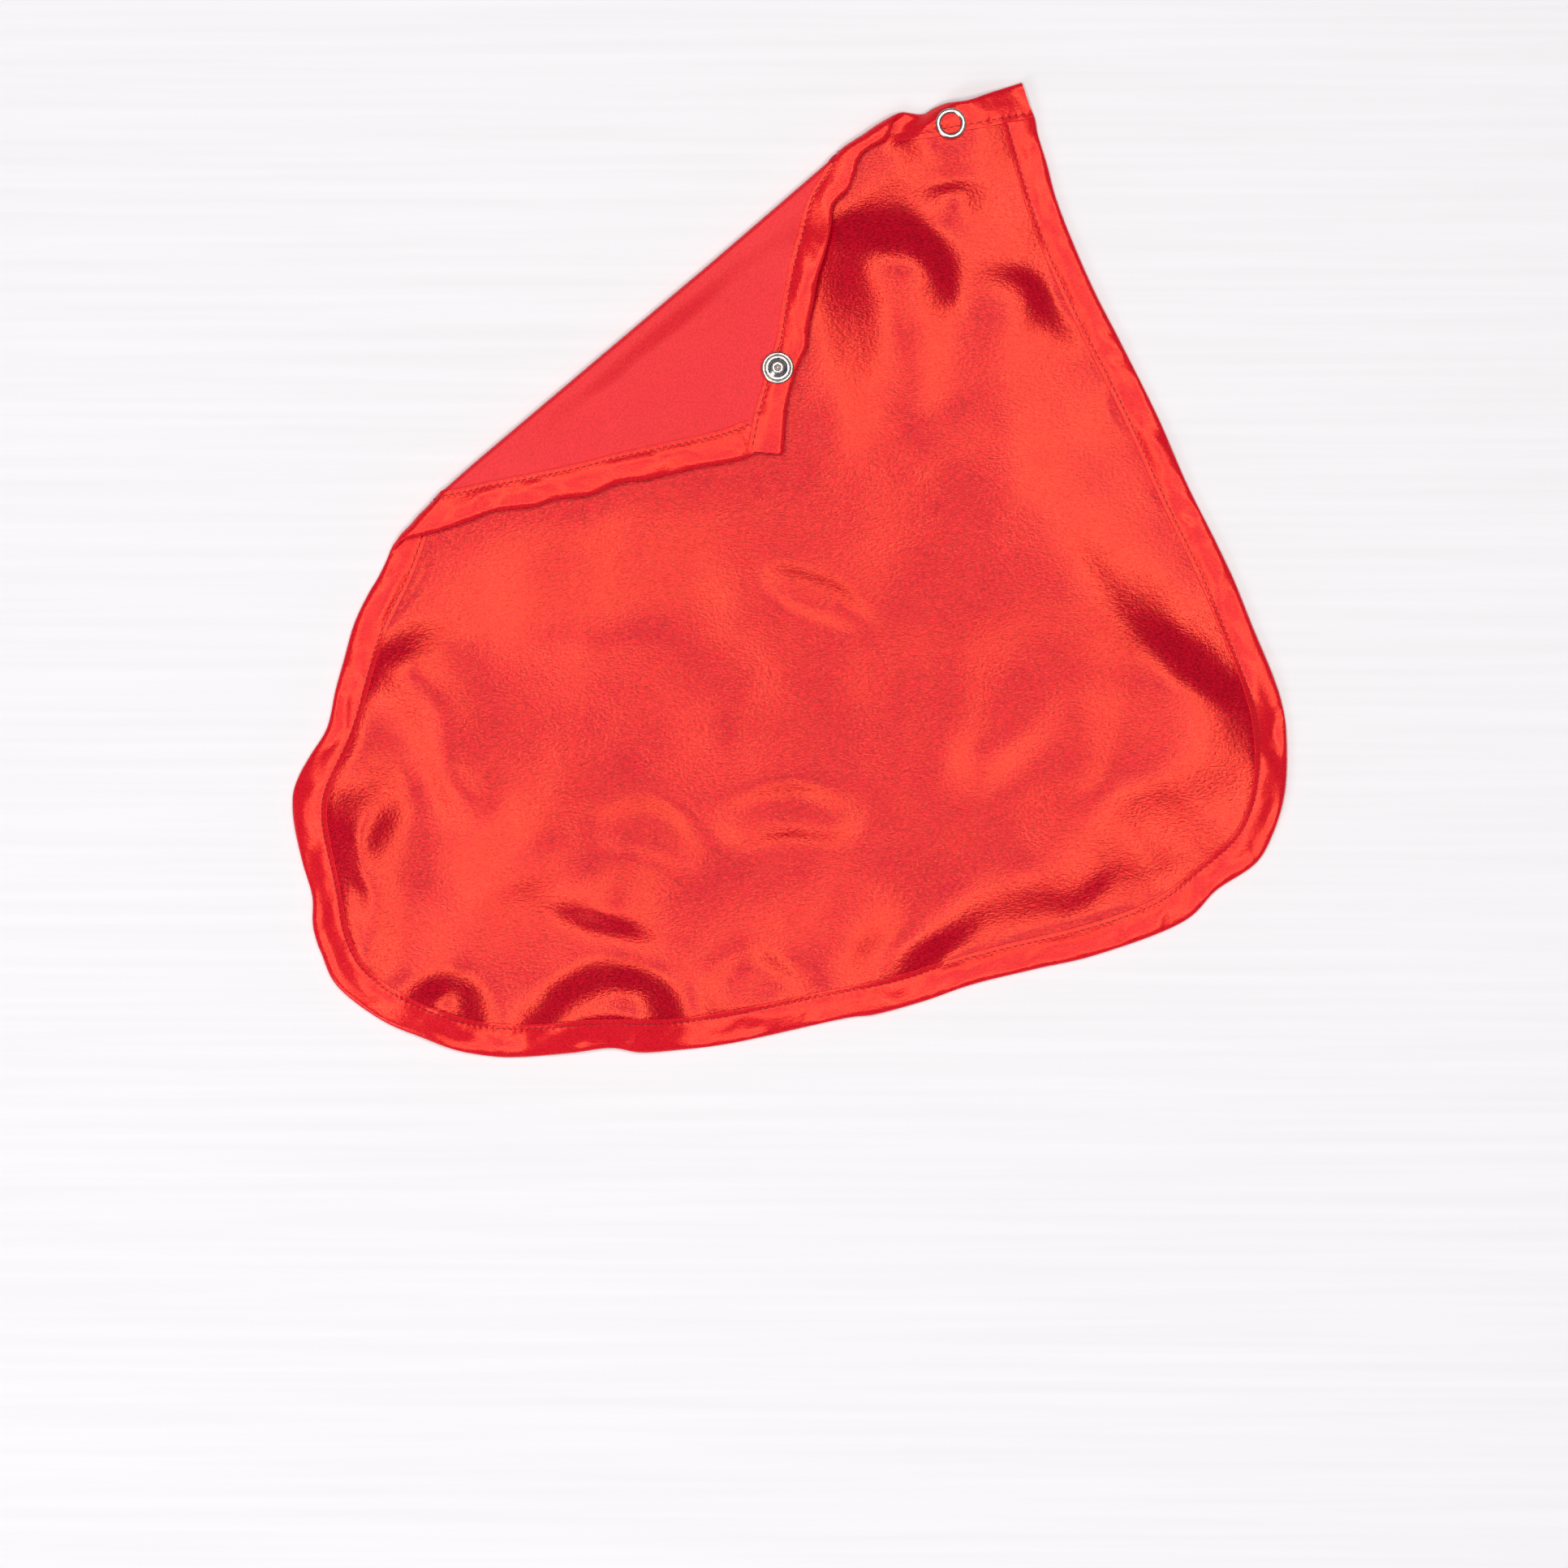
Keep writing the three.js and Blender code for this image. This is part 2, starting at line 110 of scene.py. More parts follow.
# Finished edge of the opened cape, clockwise from the right neck corner, and its neckline from left
# to right, as shares of half the CAD box
EDGE = [
    (0.484, 0.957), (0.497, 0.925), (0.502, 0.896), (0.521, 0.832), (0.541, 0.757), (0.608, 0.590),
    (0.674, 0.457), (0.747, 0.307), (0.804, 0.173), (0.861, 0.057), (0.898, -0.023), (0.935, -0.117),
    (0.977, -0.220), (0.994, -0.274), (1.003, -0.332), (1.000, -0.460), (0.976, -0.544),
    (0.944, -0.602), (0.861, -0.661), (0.804, -0.719), (0.616, -0.794), (0.501, -0.821), (0.369, -0.854),
    (0.269, -0.889), (0.170, -0.916), (0.126, -0.921), (-0.120, -0.975), (-0.220, -0.988),
    (-0.299, -0.993), (-0.354, -0.984), (-0.436, -0.994), (-0.549, -1.003), (-0.598, -1.001),
    (-0.670, -0.988), (-0.734, -0.964), (-0.812, -0.931), (-0.892, -0.874), (-0.920, -0.841),
    (-0.941, -0.789), (-0.948, -0.772), (-0.958, -0.731), (-0.959, -0.674), (-0.979, -0.602),
    (-0.995, -0.529), (-0.999, -0.488), (-0.997, -0.457), (-0.984, -0.420), (-0.964, -0.384),
    (-0.930, -0.327), (-0.912, -0.247), (-0.896, -0.188), (-0.874, -0.110), (-0.847, -0.052),
    (-0.825, -0.014), (-0.804, 0.032), (-0.785, 0.092), (-0.769, 0.170), (-0.751, 0.238),
    (-0.731, 0.269), (-0.706, 0.360), (-0.685, 0.400), (-0.662, 0.474), (-0.631, 0.524),
    (-0.614, 0.578), (-0.578, 0.666), (-0.544, 0.760), (-0.531, 0.783), (-0.514, 0.800),
]
NECKLINE = [
    (-0.517, 0.848), (-0.404, 0.840), (-0.328, 0.851), (-0.298, 0.860), (-0.258, 0.857),
    (-0.202, 0.859), (-0.159, 0.859), (-0.109, 0.866), (-0.053, 0.870), (-0.007, 0.869),
    (0.026, 0.893), (0.060, 0.902), (0.112, 0.908), (0.158, 0.936), (0.211, 0.936), (0.228, 0.939),
    (0.272, 0.935), (0.289, 0.945), (0.315, 0.956), (0.359, 0.962), (0.413, 0.981), (0.470, 1.000),
]
# Width of the neck band as it lies, at shares of the neckline's length from the left
BAND_WIDTHS = [(0, 11.6), (0.12, 9.4), (0.2, 9.6), (0.4, 10.0), (0.6, 9.0), (0.72, 8.0), (0.8, 8.6),
               (0.9, 9.6), (1, 11.6)]
# How far the crease strays from its straight line towards the panel, at distances down the crease
# from where it leaves the neckline
CREASE_BEND = [(-15, 2.6), (-3, 0.9), (6, -0.5), (27, -0.3), (60, 0), (160, 0), (173, 0.3), (187, 2.6),
               (200, 4.0), (235, 4.0)]

# Soft relief of the loose panel: middle in mm, the way the long axis points in degrees, half length,
# half width and height. A mound is round, a mesa has a flat top and a steep rim, and a crest has one
# steep face along its long axis and falls away gently on its left.
MOUNDS = [
    (50.9, 118.6, 0, 15.0, 12.0, 1.6),
    (-84.0, -92.0, 40, 22.0, 14.0, 2.2),
    (62.0, -98.0, 20, 24.0, 13.0, 1.6),
    (62.0, 22.0, 60, 32.0, 17.0, 1.5),
    (32.0, 62.0, 20, 24.0, 14.0, 1.2),
    (-60.0, -20.0, 15, 32.0, 18.0, 1.4),
    (74.0, -22.0, 80, 26.0, 16.0, 1.3),
    (100.0, -70.0, 15, 16.0, 10.0, 1.7),
    (-20.0, -48.0, 70, 22.0, 15.0, 1.1),
]
MESAS = [
    (-43.4, -83.3, -20, 16.5, 8.2, 1.2),
    (-0.4, -76.7, 3, 23.0, 8.2, 1.2),
    (8.6, -10.0, -27, 17.0, 6.0, 0.9),
    (-57.0, -144.0, 4, 21.0, 16.0, 5.4),
    (-10.4, -135.0, 0, 15.0, 14.0, 1.7),
]
CRESTS = [
    (28.0, 104.2, 183, 22.0, 8.4, 3.2),
    (44.3, 99.5, 118, 16.0, 5.0, 1.6),
    (51.0, 121.6, 188, 8.0, 2.2, 0.65),
    (75.2, 85.3, 134, 16.0, 4.8, 1.5),
    (130.0, -31.0, 134, 40.0, 7.4, 2.9),
    (-59.1, -110.5, -15, 14.0, 4.2, 1.6),
    (-139.3, -82.8, -40, 9.0, 4.2, 1.6),
    (-136.3, -94.9, -88, 20.0, 3.6, 1.3),
    (-124.7, -26.9, 218, 13.0, 4.8, 1.8),
    (-107.5, -132.6, 168, 12.0, 5.6, 3.0),
    (88.9, -102.0, 16, 15.0, 4.2, 0.7),
    (45.3, -117.7, 28, 14.0, 3.8, 1.1),
    (35.0, -127.9, 24, 12.0, 3.6, 1.0),
    (54.5, -62.5, -50, 9.0, 6.0, 0.8),
    (118.6, -94.6, 60, 9.0, 6.0, 0.6),
    (18.9, -122.3, 200, 14.0, 6.0, 0.9),
    (-103.2, -78.0, 10, 8.0, 5.0, 0.8),
]
# The turned-back corner is slacker near the neckline
CORNER_MOUNDS = [
    (-52.0, 62.0, 42, 40.0, 14.0, 0.9),
    (-20.0, 92.0, 42, 26.0, 10.0, 0.8),
    (-89.0, 50.0, 21, 28.0, 8.0, 1.5),
    (-44.0, 74.0, 36, 26.0, 8.0, 1.2),
    (-1.0, 82.0, 75, 20.0, 6.0, 1.4),
    (-48.0, 36.0, 10, 26.0, 8.0, 1.2),
]
# Height of the loose panel's swell and how far in from the edge it is reached, height of the ridge
# inside the left edge, and the least height of the cloth's middle over the floor
PILLOW = 2.4
PILLOW_REACH = 30.0
LEFT_RIDGE = 4.2
FLOOR_GAP = 0.35
# How far the outlines of the relief wander, and how wide those waves are
WANDER = 2.6
WANDER_WAVE = 15
# Mean height of the turned-back corner over the flat fold, away from its mounds
CORNER_SLACK = 0.2
# How far the band is lifted under the right snap
SNAP_LIFT = 3.2

# How far the panel's grid reaches from the crease on the panel's and on the corner's side, and from
# the hinge's point up and down along the crease
PANEL_REACH = 262
CORNER_REACH = 95
UP_REACH = 135
DOWN_REACH = 235


def smoothstep(value, low, high):
    share = np.clip((value - low) / (high - low), 0.0, 1.0)
    return share * share * (3 - 2 * share)


def noise(x, y, size, seed):
    """Smooth random heights between -1 and 1, the same each run, whose waves are about size wide."""
    cells = np.random.default_rng(seed).uniform(-1, 1, (128, 128))
    u, v = np.asarray(x) / size, np.asarray(y) / size
    i, j = np.floor(u).astype(int), np.floor(v).astype(int)
    fu, fv = smoothstep(u - i, 0, 1), smoothstep(v - j, 0, 1)
    i, j, right, above = i % 128, j % 128, (i + 1) % 128, (j + 1) % 128
    near = cells[i, j] * (1 - fu) + cells[right, j] * fu
    far = cells[i, above] * (1 - fu) + cells[right, above] * fu
    return near * (1 - fv) + far * fv


# ---------------------------------------------------------------- the frame's places

half = np.array((CAD_BOX[1] - CAD_BOX[0]) / 2 / MM)[:2]
middle = np.array((CAD_BOX[1] + CAD_BOX[0]) / 2 / MM)[:2]
joint = frame["record"]["behaviour"]["joints"][0]
pivot = np.array(joint["pos_m"]) / MM
ALONG = np.array(joint["axis"])[:2]
ACROSS = np.array([-ALONG[1], ALONG[0]])


def snap_centre(node):
    low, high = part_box(node)
    return np.array((low + high) / 2 / MM)[:2]


RIGHT_SNAP = snap_centre("ring_cap_main")
LEFT_SNAP = snap_centre("stud_corner")


# ---------------------------------------------------------------- curves of the flat pattern

def curve_through(points, step):
    """Points every step mm along a smooth curve through the given ones."""
    points = np.array(points, float)
    ends = [2 * points[0] - points[1]], [2 * points[-1] - points[-2]]
    full = np.concatenate([ends[0], points, ends[1]])
    knots = np.concatenate([[0], np.cumsum(np.linalg.norm(np.diff(full, axis=0), axis=1) ** 0.5)])
    dense = []
    for k in range(1, len(full) - 2):
        t = np.linspace(knots[k], knots[k + 1], 24, endpoint=False)[:, None]
        p, q = full[k - 1:k + 3], knots[k - 1:k + 3]
        a = [(q[m + 1] - t) / (q[m + 1] - q[m]) * p[m] + (t - q[m]) / (q[m + 1] - q[m]) * p[m + 1]
             for m in range(3)]
        b = [(q[m + 2] - t) / (q[m + 2] - q[m]) * a[m] + (t - q[m]) / (q[m + 2] - q[m]) * a[m + 1]
             for m in range(2)]
        dense.append((q[2] - t) / (q[2] - q[1]) * b[0] + (t - q[1]) / (q[2] - q[1]) * b[1])
    dense = np.concatenate(dense + [full[-2:-1]])
    run = np.concatenate([[0], np.cumsum(np.linalg.norm(np.diff(dense, axis=0), axis=1))])
    count = int(round(run[-1] / step))
    even = np.linspace(0, run[-1], count + 1)
    return np.stack([np.interp(even, run, dense[:, k]) for k in range(2)], axis=1)


def blurred(points, reach):
    """The same curve with waves shorter than reach points smoothed out and its ends kept."""
    pad = 3 * reach
    before = 2 * points[0] - points[pad:0:-1]
    after = 2 * points[-1] - points[-2:-pad - 2:-1]
    full = np.concatenate([before, points, after])
    kernel = np.exp(-0.5 * (np.arange(-pad, pad + 1) / reach) ** 2)
    kernel /= kernel.sum()
    return np.stack([np.convolve(full[:, k], kernel, "valid") for k in range(2)], axis=1)


class Strip:
    """A strip along an edge of the opened cape.

    tucked is the share by which its ends thin where they go under another strip, and covers is 1 when
    its own ends lie over one. cut is the station where it is cut at the fold.
    """

    def __init__(self, shares, smoothing, width, tucked, covers):
        points = curve_through(middle + np.array(shares) * half, STATION)
        self.outer = points
        self.base = blurred(points, int(smoothing / STATION))
        self.ruffle = self.outer - self.base
        tangent = np.gradient(self.base, axis=0)
        tangent /= np.linalg.norm(tangent, axis=1)[:, None]
        self.inward = np.stack([tangent[:, 1], -tangent[:, 0]], axis=1)
        self.count = len(points)
        self.length = (self.count - 1) * STATION
        self.width = width(np.linspace(0, 1, self.count))
        self.cut = None
        self.tucked = tucked
        self.covers = covers

    def at(self, station, depth):
        """Flat points at stations, depth mm in from the finished edge (arrays of one shape)."""
        k = np.clip(np.asarray(station, float), 0, self.count - 1)
        low = np.minimum(k.astype(int), self.count - 2)
        part = (k - low)[..., None]
        base, inward, ruffle = (
            rows[low] * (1 - part) + rows[low + 1] * part for rows in (self.base, self.inward, self.ruffle)
        )
        fade = np.clip(1 - depth / self.width[low], 0, 1)[..., None]
        return base + inward * np.asarray(depth)[..., None] + ruffle * fade


binding = Strip(EDGE, 9.0, lambda share: np.full_like(share, TAPE_WIDTH), 0.5, 0)
band = Strip(NECKLINE[::-1], 5.0, lambda share: np.interp(1 - share, *zip(*BAND_WIDTHS)), 0, 1)
# inward is on the right of a strip's run, and the band runs the other way round from the binding
band.inward *= -1


def polygon_gap(points, polygon):
    """How far inside a closed polygon each point is (negative outside), and its nearest edge point."""
    gaps, nearest = np.empty(len(points)), np.empty((len(points), 2))
    nxt = np.roll(polygon, -1, axis=0)
    run = nxt - polygon
    size = (run ** 2).sum(1) + 1e-12
    climb = np.where(run[:, 1] == 0, 1, run[:, 1])
    for start in range(0, len(points), 4000):
        p = points[start:start + 4000, None, :]
        share = np.clip(((p - polygon) * run).sum(2) / size, 0, 1)
        foot = polygon + share[..., None] * run
        away = ((p - foot) ** 2).sum(2)
        best = away.argmin(1)
        rows = np.arange(len(best))
        crosses = (polygon[:, 1] > p[..., 1]) != (nxt[:, 1] > p[..., 1])
        at_x = polygon[:, 0] + (p[..., 1] - polygon[:, 1]) * run[:, 0] / climb
        inside = ((crosses & (p[..., 0] < at_x)).sum(1) % 2) == 1
        gap = np.sqrt(away[rows, best])
        gaps[start:start + 4000] = np.where(inside, gap, -gap)
        nearest[start:start + 4000] = foot[rows, best]
    return gaps, nearest


class Field:
    """How far inside an outline points are, looked up on a grid that reaches past it."""

    STEP = 2.0
    MARGIN = 30

    def __init__(self, polygon):
        self.low = polygon.min(0) - self.MARGIN
        count = np.ceil((polygon.max(0) + self.MARGIN - self.low) / self.STEP).astype(int) + 1
        i, j = np.meshgrid(np.arange(count[0]), np.arange(count[1]), indexing="ij")
        points = self.low + np.stack([i.ravel(), j.ravel()], axis=1) * self.STEP
        self.gaps = polygon_gap(points, polygon)[0].reshape(count)

    def gap(self, points):
        place = (points - self.low) / self.STEP
        place = np.clip(place, 0, np.array(self.gaps.shape) - 1.001)
        cell = place.astype(int)
        part = place - cell
        i, j = cell.T
        fi, fj = part.T
        near = self.gaps[i, j] * (1 - fi) + self.gaps[i + 1, j] * fi
        far = self.gaps[i, j + 1] * (1 - fi) + self.gaps[i + 1, j + 1] * fi
        return near * (1 - fj) + far * fj


FLAT_OUTLINE = np.concatenate([binding.outer[::2], band.outer[::2][::-1]])
FLAT_FIELD = Field(FLAT_OUTLINE)


# ---------------------------------------------------------------- folding and laying down

crease_origin = pivot[:2] + HINGE_INSET * ACROSS
bend_t, bend_s = zip(*CREASE_BEND)


def from_crease(flat):
    """How far flat points are from the crease, positive on the panel's side, and down along it."""
    offset = np.asarray(flat) - crease_origin
    down = offset @ ALONG
    return offset @ ACROSS - np.interp(down + HINGE_DOWN, bend_t, bend_s), down


def laid(flat):
    """Where flat points of the cloth's middle lie in plan, and how far round the roll they are."""
    signed, _ = from_crease(flat)
    reach = np.abs(signed)
    angle = np.minimum(reach / ROLL_RADIUS, math.pi / 2)
    inward = ROLL_RADIUS * (1 - np.cos(angle)) + np.maximum(0, reach - ROLL_LENGTH)
    return flat + (inward - signed)[:, None] * ACROSS, signed, angle


def corner_polygon():
    """Outline of the turned-back corner as it lies."""
    flat = FLAT_OUTLINE[from_crease(FLAT_OUTLINE)[0] < 0]
    return laid(flat)[0]


CORNER_FIELD = Field(corner_polygon()[::2])


def relief(x, y, shapes, profile):
    """Sum of the shapes' heights, with their outlines bent a little so that none is regular."""
    x, y = x + WANDER * noise(x, y, WANDER_WAVE, 31), y + WANDER * noise(x, y, WANDER_WAVE, 32)
    total = np.zeros_like(x)
    for cx, cy, turn, long, wide, height in shapes:
        c, s = math.cos(math.radians(turn)), math.sin(math.radians(turn))
        along = ((x - cx) * c + (y - cy) * s) / long
        across = ((y - cy) * c - (x - cx) * s) / wide
        total += height * profile(along, across)
    return total


def mound(along, across):
    return np.exp(-along ** 2 - across ** 2)


def mesa(along, across):
    return np.exp(-(along ** 2 + across ** 2) ** 2)


def crest(along, across):
    return (1 + np.tanh(across)) * np.exp(-along ** 2 - (across / 5) ** 2)


def shared(plan):
    """Height of the relief that lifts the panel and whatever lies on it alike."""
    x, y = plan[:, 0], plan[:, 1]
    inside = smoothstep(FLAT_FIELD.gap(plan), 1, 12)
    height = relief(x, y, MOUNDS, mound) + relief(x, y, MESAS, mesa) + relief(x, y, CRESTS, crest)
    height *= (0.2 + 0.8 * inside) * smoothstep(from_crease(plan)[0], 3, 20)
    return height * smoothstep(np.hypot(*(plan - LEFT_SNAP).T), 5, 42)


def rise(plan, flat, side):
    """Height of the cloth's middle above where the flat fold would put it."""
    x, y = plan[:, 0], plan[:, 1]
    gap = np.maximum(FLAT_FIELD.gap(flat), 0)
    beside = -CORNER_FIELD.gap(plan)
    common = shared(plan)
    # the loose panel
    steep = smoothstep(-x, 120, 140) * smoothstep(-y, 30, 55) * smoothstep(y, -150, -120)
    pillow = PILLOW * (1 - np.exp(-(gap / PILLOW_REACH) ** 2))
    pillow += steep * LEFT_RIDGE * smoothstep(gap, 0, 13) * (1 - 0.75 * smoothstep(gap, 16, 45))
    soft = noise(x, y, 38, 3) * 0.9 + noise(x + 50, y, 17, 5) * 0.32 + noise(x, y + 9, 8, 6) * 0.06
    hem = noise(x, y, 13, 8) * np.exp(-(gap / 11) ** 2) * 0.9
    panel = common + pillow * smoothstep(beside, 2, 60)
    panel += soft * smoothstep(gap, 1, 12) * smoothstep(beside, 1, 16)
    panel += hem * smoothstep(gap, 0, 4) * smoothstep(beside, 1, 10)
    panel = np.maximum(panel, (FLOOR_GAP - BOUND_HALF) * smoothstep(gap, TAPE_WIDTH, TAPE_WIDTH + 5))
    # the turned-back corner
    signed, _ = from_crease(flat)
    near = smoothstep(np.hypot(*(plan - LEFT_SNAP).T), 7, 20)
    corner = relief(x, y, CORNER_MOUNDS, mound) + CORNER_SLACK * (1 + noise(x, y, 21, 11))
    corner = np.maximum(common, 0) + np.maximum(corner, 0) * smoothstep(-signed, 3, 14) * near
    height = np.where(side > 0, panel, corner)
    away = np.hypot(*(plan - RIGHT_SNAP).T)
    lift = (1 - smoothstep(away, 7, 24)) * smoothstep(signed, 4, 10)
    return height * (1 - lift) + SNAP_LIFT * lift


def lay(flat, off):
    """Places of flat points, off mm from the cloth's middle towards its outer face, in mm."""
    flat = np.asarray(flat, float)
    plan, signed, angle = laid(flat)
    side = np.where(signed < 0, -1.0, 1.0)
    lifted = rise(plan, flat, side)
    xy = plan + (off * np.cos(angle))[:, None] * ACROSS
    z = BOUND_HALF + ROLL_RADIUS - side * (ROLL_RADIUS - off) * np.sin(angle) + lifted
    return np.column_stack([xy, z])


# ---------------------------------------------------------------- meshes

def outward(verts, faces):
    """The faces, quads first, turned so that they look out of the closed body."""
    quads = np.array([face for face in faces if len(face) == 4])
    a, b, c, d = (verts[quads[:, k]] - verts.mean(0) for k in range(4))
    volume = (a * np.cross(b, c)).sum() + (a * np.cross(c, d)).sum()
    return faces if volume > 0 else [list(face)[::-1] for face in faces]


def make_piece(name, verts, faces, materials, indices=None, sharp=()):
    mesh = bpy.data.meshes.new(name)
    mesh.from_pydata((np.asarray(verts) * MM).tolist(), [], faces)
    for material in materials:
        mesh.materials.append(material)
    if indices is not None:
        mesh.polygons.foreach_set("material_index", np.asarray(indices, np.int32))
    mesh.polygons.foreach_set("use_smooth", np.ones(len(faces), bool))
    if len(sharp):
        wanted = {tuple(sorted(pair)) for pair in sharp}
        for line in mesh.edges:
            if tuple(sorted(line.vertices)) in wanted:
                line.use_edge_sharp = True
    mesh.update()
    piece = bpy.data.objects.new(name, mesh)
    bpy.context.scene.collection.objects.link(piece)
    return piece


def panel_pieces(face, back):
    """The satin panel: a grid that lines up with the crease, cut in two just past the roll."""
    roll = np.arange(0, SPLIT, ROLL_STEP)
    main = np.concatenate([roll, SPLIT + np.arange(0, PANEL_REACH, GRID)])
    corner = -np.concatenate([roll[1:], SPLIT + np.arange(0, CORNER_REACH, GRID)])[::-1]
    columns = np.concatenate([corner, main])
    rows = np.arange(-UP_REACH, DOWN_REACH, GRID)
    bends = np.interp(rows + HINGE_DOWN, bend_t, bend_s)
    s = columns[None, :] + bends[:, None]
    flat = crease_origin + s[..., None] * ACROSS + rows[:, None, None] * ALONG
    shape = s.shape
    flat = flat.reshape(-1, 2)
    gap, nearest = FLAT_FIELD.gap(flat), np.zeros_like(flat)
    border = np.abs(gap - RIM_INSET) < 2 * GRID
    gap[border], nearest[border] = polygon_gap(flat[border], FLAT_OUTLINE)
    keep = (gap > RIM_INSET - GRID * 0.45).reshape(shape)
    cells = keep[:-1, :-1] & keep[1:, :-1] & keep[:-1, 1:] & keep[1:, 1:]
    index = np.arange(flat.shape[0]).reshape(shape)
    pieces = []
    split = int(np.searchsorted(columns, SPLIT - 1e-6))
    for name, first, last in (("panel", split, len(columns) - 1), ("panel_turned", 0, split)):
        used = np.zeros_like(cells)
        used[:, first:last] = cells[:, first:last]
        i, j = np.nonzero(used)
        quads = np.stack([index[i, j], index[i, j + 1], index[i + 1, j + 1], index[i + 1, j]], axis=1)
        pieces.append(thick_sheet(name, flat, quads, gap, nearest, face, back))
    return pieces


def thick_sheet(name, flat, quads, gap, nearest, face, back):
    """A closed thin sheet over the flat grid's quads. Its rim is drawn to the same inset."""
    pairs = np.concatenate([quads[:, [k, (k + 1) % 4]] for k in range(4)])
    keys = np.sort(pairs, axis=1)
    _, inverse, counts = np.unique(keys, axis=0, return_inverse=True, return_counts=True)
    rim = pairs[counts[inverse.ravel()] == 1]
    ids, compact = np.unique(quads, return_inverse=True)
    points = flat[ids].copy()
    border = np.isin(ids, rim)
    close = border & (gap[ids] < RIM_INSET + GRID * 1.5)
    away = points[close] - nearest[ids][close]
    away /= np.linalg.norm(away, axis=1)[:, None]
    points[close] = nearest[ids][close] + away * RIM_INSET
    quads = compact.reshape(quads.shape)
    rim = np.searchsorted(ids, rim)
    top = lay(points, np.full(len(points), CLOTH / 2))
    low = lay(points, np.full(len(points), -CLOTH / 2))
    n = len(points)
    walls = np.stack([rim[:, 1], rim[:, 0], rim[:, 0] + n, rim[:, 1] + n], axis=1)
    faces = np.concatenate([quads, quads[:, ::-1] + n, walls])
    indices = np.concatenate([np.zeros(len(quads)), np.ones(len(quads)), np.zeros(len(walls))])
    sharp = np.concatenate([rim, rim + n]).tolist()
    verts = np.concatenate([top, low])
    faces = outward(verts, faces.tolist())
    return make_piece(name, verts, faces, [face, back], indices, sharp)


def tape_half(strip, station, depth, seed):
    """How far the tape's surface is from the middle of the cloth, with its puckers and its seam."""
    width = strip.width[np.clip(station, 0, strip.count - 1).astype(int)]
    seam = width - SEAM_INSET
    u = station * STATION
    puff = smoothstep(seam - depth, -0.2, 3.6)
    body = HEM_HALF + (PUFF_HALF - HEM_HALF) * puff
    gathers = noise(u + 0.9 * depth, depth * 0.6, 4.6, seed) * 0.28
    gathers += noise(u - 1.6 * depth, depth * 0.5, 9.0, seed + 1) * 0.26
    body += gathers * puff
    from_end = np.minimum(u, strip.length - u)
    body = body * (1 - strip.tucked * (1 - smoothstep(from_end, 2.0, 5.5)))
    crossing = strip.covers * (1 - smoothstep(from_end, TAPE_WIDTH, TAPE_WIDTH + 3))
    body += crossing * np.maximum(CROSSING_HALF - body, 0)
    phase = np.cos(2 * math.pi * u / STITCH_PITCH)
    seam_line = np.exp(-((depth - seam) / 0.55) ** 2)
    body -= seam_line * (0.16 + 0.10 * phase)
    lap = np.clip(depth / EDGE_ROUND, 0, 1)
    return np.minimum(body, BOUND_HALF) * np.sqrt(1 - (1 - lap) ** 2)


def tape_section(width):
    """Depths across the tape from its outer edge to its hem."""
    seam = width - SEAM_INSET
    near = EDGE_ROUND * np.array([0.0, 0.06, 0.2, 0.42, 0.7, 1.0])
    rest = np.concatenate([
        EDGE_ROUND + (seam - 0.9 - EDGE_ROUND) * np.linspace(0.18, 1, 6),
        seam + np.array([-0.45, 0.0, 0.45]),
        width + np.array([-0.5, -0.12, 0.0]),
    ])
    return np.concatenate([near, rest])


def cut_station(strip, depth):
    """The station where a line depth mm in from the strip's edge comes to the cut at the fold."""
    stations = np.arange(strip.count)
    signed = from_crease(strip.at(stations, np.full(strip.count, depth)))[0]
    k = int(np.argmax(signed < SPLIT))
    return k - (SPLIT - signed[k]) / (signed[k - 1] - signed[k])


def tape_piece(name, strip, first, last, material, seed):
    """A strip folded over the edge, as a closed body. Its end at the fold is cut along the crease."""
    stations = np.arange(first, last + 1)
    loops = []
    for station in stations:
        outer = tape_section(strip.width[station])
        inner = outer[outer >= 1.2][::-1]
        loops.append(np.concatenate([outer, inner, inner[::-1], outer[:0:-1]]))
    depth = np.array(loops)
    m = depth.shape[1]
    outer_count = len(tape_section(TAPE_WIDTH))
    inner_count = (m - 2 * outer_count + 1) // 2
    row = strip.cut - first
    slant = np.array([cut_station(strip, d) for d in depth[row]]) - strip.cut
    nearness = np.clip(1 - np.abs(stations - strip.cut) / SLANT_REACH, 0, 1)
    station = stations[:, None] + slant * nearness[:, None]
    k = np.arange(m)
    sign = np.where(k < outer_count + inner_count, 1.0, -1.0)
    is_inner = (k >= outer_count) & (k < outer_count + 2 * inner_count)
    half_thickness = tape_half(strip, station, depth, seed)
    other = tape_half(strip, station, depth, seed + 7)
    off = np.where(sign > 0, half_thickness, other)
    off = off - np.where(is_inner, TAPE, 0.0)
    off = off * sign
    flat = strip.at(station, depth).reshape(-1, 2)
    verts = lay(flat, off.ravel())
    n = len(stations)
    grid = np.arange(n * m).reshape(n, m)
    nxt = np.roll(grid, -1, axis=1)
    faces = np.stack([grid[:-1], nxt[:-1], nxt[1:], grid[1:]], axis=2).reshape(-1, 4).tolist()
    caps = [grid[0].tolist()[::-1], grid[-1].tolist()]
    sharp = []
    for loop in (grid[0], grid[-1]):
        sharp += list(zip(loop.tolist(), np.roll(loop, -1).tolist()))
    faces = outward(verts, faces + caps)
    return make_piece(name, verts, faces, [material], None, sharp)


